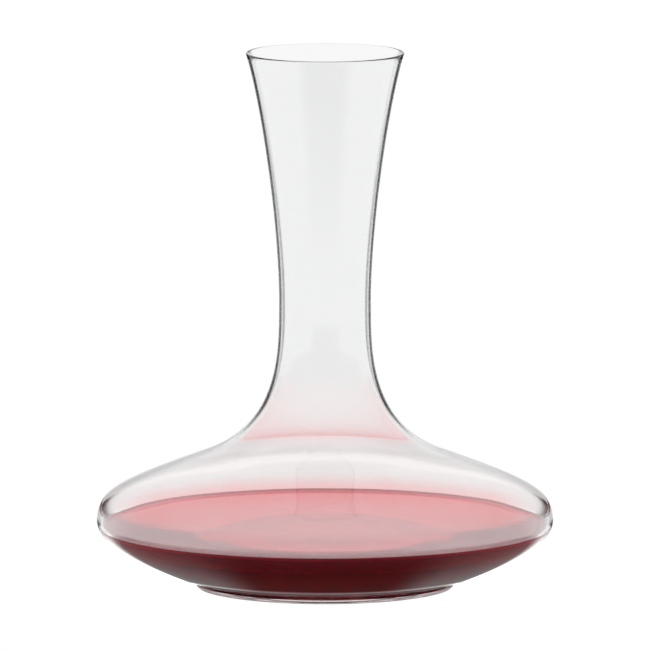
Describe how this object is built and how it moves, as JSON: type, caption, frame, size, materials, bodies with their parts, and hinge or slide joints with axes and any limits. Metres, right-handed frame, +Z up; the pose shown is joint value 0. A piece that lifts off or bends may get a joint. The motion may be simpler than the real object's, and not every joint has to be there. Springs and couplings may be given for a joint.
{
  "type": "wine decanter",
  "caption": "Clear blown glass decanter with a wide low bowl, sloping shoulder and flared neck on a thin foot, part filled with red wine.",
  "frame": {"origin": "middle of the underside of the foot, on the plane the decanter stands on", "axes": "+Z up along the axis of the vessel; the vessel is round, so X and Y are free"},
  "size_m": [0.2126, 0.2126, 0.25],
  "materials": {
    "blown_glass": "polished",
    "foot_glass": "polished",
    "red_wine": "gloss"
  },
  "bodies": {
    "root": {"vessel": "blown_glass", "foot": "foot_glass", "wine": "red_wine"}
  },
  "joints": []
}
